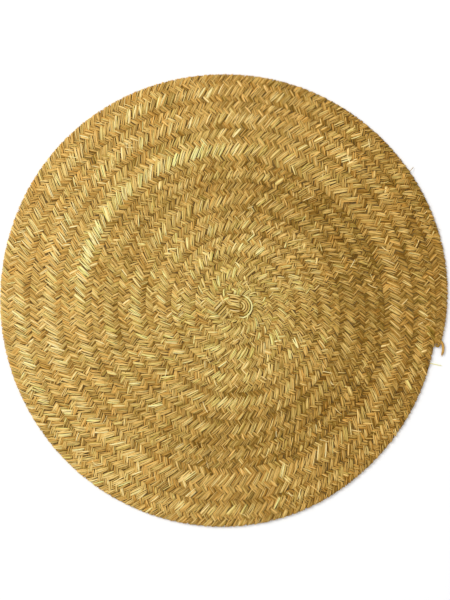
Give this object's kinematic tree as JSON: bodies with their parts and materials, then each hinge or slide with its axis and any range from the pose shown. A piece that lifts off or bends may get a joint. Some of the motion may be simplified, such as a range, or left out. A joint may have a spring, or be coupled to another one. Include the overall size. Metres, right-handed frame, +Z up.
{
  "type": "round plaited grass rug",
  "caption": "Round flat rug: a long flat plait of dry grass, wound from the middle outwards and sewn edge to edge, with a loose strand at its outer end.",
  "frame": {"origin": "middle of the bounding box, on the plane of the underside", "axes": "+Z up out of the rug's face, +X towards the side where the plait ends, +Y towards the top of the picture"},
  "size_m": [0.996, 1.0076, 0.0074],
  "materials": {
    "grass": "dry plaited grass, low sheen"
  },
  "bodies": {
    "root": {"plaited_coil": "grass"}
  },
  "joints": []
}
